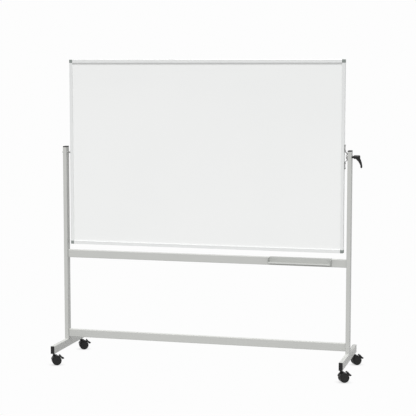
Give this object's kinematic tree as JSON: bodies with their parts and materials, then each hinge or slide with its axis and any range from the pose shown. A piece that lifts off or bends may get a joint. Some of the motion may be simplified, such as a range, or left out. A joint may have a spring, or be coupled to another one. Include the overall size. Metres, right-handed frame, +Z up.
{
  "type": "rolling whiteboard",
  "caption": "Rolling whiteboard: a framed enamel panel that turns over on side pivots in a tube stand, with a clamp lever, a hooked pen tray and braked swivel casters.",
  "frame": {"origin": "on the floor, under the middle of the overall width and depth", "axes": "+X to the right along the board, +Y from the front towards the rear, +Z up"},
  "size_m": [1.971, 0.5753, 1.96],
  "materials": {
    "painted_steel": "satin light grey powder coat",
    "aluminium": "satin anodised extrusion",
    "writing_enamel": "glossy white enamel",
    "core_board": "raw fibreboard",
    "grey_plastic": "fine-grained moulded grey",
    "dark_plastic": "fine-grained moulded black",
    "wheel_plastic": "satin moulded black",
    "zinc_steel": "zinc plated"
  },
  "bodies": {
    "stand": {"left_post": "painted_steel", "right_post": "painted_steel", "left_post_cap": "dark_plastic", "right_post_cap": "dark_plastic", "left_foot": "painted_steel", "right_foot": "painted_steel", "left_foot_front_cap": "dark_plastic", "left_foot_rear_cap": "dark_plastic", "right_foot_front_cap": "dark_plastic", "right_foot_rear_cap": "dark_plastic", "upper_crossbar": "painted_steel", "lower_crossbar": "painted_steel", "front_left_caster_stem": "zinc_steel", "front_right_caster_stem": "zinc_steel", "rear_left_caster_stem": "zinc_steel", "rear_right_caster_stem": "zinc_steel"},
    "board": {"board_core": "core_board", "front_sheet": "writing_enamel", "rear_sheet": "writing_enamel", "top_rail": "aluminium", "bottom_rail": "aluminium", "left_rail": "aluminium", "right_rail": "aluminium", "top_left_corner": "grey_plastic", "top_right_corner": "grey_plastic", "bottom_left_corner": "grey_plastic", "bottom_right_corner": "grey_plastic", "pivot_bracket": "zinc_steel", "bracket_screw_1": "zinc_steel", "bracket_screw_2": "zinc_steel", "bracket_screw_3": "zinc_steel", "bracket_screw_4": "zinc_steel", "clamp_stud": "zinc_steel", "friction_washer": "zinc_steel", "left_pivot_bolt": "zinc_steel", "left_pivot_bush": "zinc_steel"},
    "tray": {"pen_tray": "painted_steel", "left_tray_end": "painted_steel", "right_tray_end": "painted_steel"},
    "lever": {"clamp_lever": "dark_plastic"},
    "front_left_swivel": {"front_left_caster_hood": "dark_plastic", "front_left_caster_axle": "zinc_steel"},
    "front_left_near_wheel": {"front_left_caster_near_wheel": "wheel_plastic"},
    "front_left_far_wheel": {"front_left_caster_far_wheel": "wheel_plastic"},
    "front_left_brake": {"front_left_caster_brake_pedal": "dark_plastic"},
    "front_right_swivel": {"front_right_caster_hood": "dark_plastic", "front_right_caster_axle": "zinc_steel"},
    "front_right_near_wheel": {"front_right_caster_near_wheel": "wheel_plastic"},
    "front_right_far_wheel": {"front_right_caster_far_wheel": "wheel_plastic"},
    "front_right_brake": {"front_right_caster_brake_pedal": "dark_plastic"},
    "rear_left_swivel": {"rear_left_caster_hood": "dark_plastic", "rear_left_caster_axle": "zinc_steel"},
    "rear_left_near_wheel": {"rear_left_caster_near_wheel": "wheel_plastic"},
    "rear_left_far_wheel": {"rear_left_caster_far_wheel": "wheel_plastic"},
    "rear_left_brake": {"rear_left_caster_brake_pedal": "dark_plastic"},
    "rear_right_swivel": {"rear_right_caster_hood": "dark_plastic", "rear_right_caster_axle": "zinc_steel"},
    "rear_right_near_wheel": {"rear_right_caster_near_wheel": "wheel_plastic"},
    "rear_right_far_wheel": {"rear_right_caster_far_wheel": "wheel_plastic"},
    "rear_right_brake": {"rear_right_caster_brake_pedal": "dark_plastic"}
  },
  "joints": [
    {"name": "board_tilt", "type": "hinge", "parent": "stand", "child": "board", "pos_m": [-0.02635, 0, 1.36], "axis": [1, 0, 0], "continuous": true},
    {"name": "lever_turn", "type": "hinge", "parent": "stand", "child": "lever", "pos_m": [0.92, 0, 1.36], "axis": [1, 0, 0], "range_deg": [-90, 90]},
    {"name": "tray_slide", "type": "slide", "parent": "stand", "child": "tray", "axis": [1, 0, 0], "range_m": [-1.345, 0.09]},
    {"name": "front_left_swivel", "type": "hinge", "parent": "stand", "child": "front_left_swivel", "pos_m": [-0.96035, -0.2525, 0.06], "axis": [0, 0, 1], "continuous": true},
    {"name": "front_left_near_wheel_roll", "type": "hinge", "parent": "front_left_swivel", "child": "front_left_near_wheel", "pos_m": [-0.94649, -0.2445, 0.03], "axis": [-0.5, 0.866, 0], "continuous": true},
    {"name": "front_left_far_wheel_roll", "type": "hinge", "parent": "front_left_swivel", "child": "front_left_far_wheel", "pos_m": [-0.94649, -0.2445, 0.03], "axis": [-0.5, 0.866, 0], "continuous": true},
    {"name": "front_left_brake", "type": "hinge", "parent": "front_left_swivel", "child": "front_left_brake", "pos_m": [-0.93783, -0.2395, 0.044], "axis": [-0.5, 0.866, 0], "range_deg": [0, 11.5]},
    {"name": "front_right_swivel", "type": "hinge", "parent": "stand", "child": "front_right_swivel", "pos_m": [0.90765, -0.2525, 0.06], "axis": [0, 0, 1], "continuous": true},
    {"name": "front_right_near_wheel_roll", "type": "hinge", "parent": "front_right_swivel", "child": "front_right_near_wheel", "pos_m": [0.92151, -0.2445, 0.03], "axis": [-0.5, 0.866, 0], "continuous": true},
    {"name": "front_right_far_wheel_roll", "type": "hinge", "parent": "front_right_swivel", "child": "front_right_far_wheel", "pos_m": [0.92151, -0.2445, 0.03], "axis": [-0.5, 0.866, 0], "continuous": true},
    {"name": "front_right_brake", "type": "hinge", "parent": "front_right_swivel", "child": "front_right_brake", "pos_m": [0.93017, -0.2395, 0.044], "axis": [-0.5, 0.866, 0], "range_deg": [0, 11.5]},
    {"name": "rear_left_swivel", "type": "hinge", "parent": "stand", "child": "rear_left_swivel", "pos_m": [-0.96035, 0.2525, 0.06], "axis": [0, 0, 1], "continuous": true},
    {"name": "rear_left_near_wheel_roll", "type": "hinge", "parent": "rear_left_swivel", "child": "rear_left_near_wheel", "pos_m": [-0.94649, 0.2605, 0.03], "axis": [-0.5, 0.866, 0], "continuous": true},
    {"name": "rear_left_far_wheel_roll", "type": "hinge", "parent": "rear_left_swivel", "child": "rear_left_far_wheel", "pos_m": [-0.94649, 0.2605, 0.03], "axis": [-0.5, 0.866, 0], "continuous": true},
    {"name": "rear_left_brake", "type": "hinge", "parent": "rear_left_swivel", "child": "rear_left_brake", "pos_m": [-0.93783, 0.2655, 0.044], "axis": [-0.5, 0.866, 0], "range_deg": [0, 11.5]},
    {"name": "rear_right_swivel", "type": "hinge", "parent": "stand", "child": "rear_right_swivel", "pos_m": [0.90765, 0.2525, 0.06], "axis": [0, 0, 1], "continuous": true},
    {"name": "rear_right_near_wheel_roll", "type": "hinge", "parent": "rear_right_swivel", "child": "rear_right_near_wheel", "pos_m": [0.92151, 0.2605, 0.03], "axis": [-0.5, 0.866, 0], "continuous": true},
    {"name": "rear_right_far_wheel_roll", "type": "hinge", "parent": "rear_right_swivel", "child": "rear_right_far_wheel", "pos_m": [0.92151, 0.2605, 0.03], "axis": [-0.5, 0.866, 0], "continuous": true},
    {"name": "rear_right_brake", "type": "hinge", "parent": "rear_right_swivel", "child": "rear_right_brake", "pos_m": [0.93017, 0.2655, 0.044], "axis": [-0.5, 0.866, 0], "range_deg": [0, 11.5]}
  ]
}
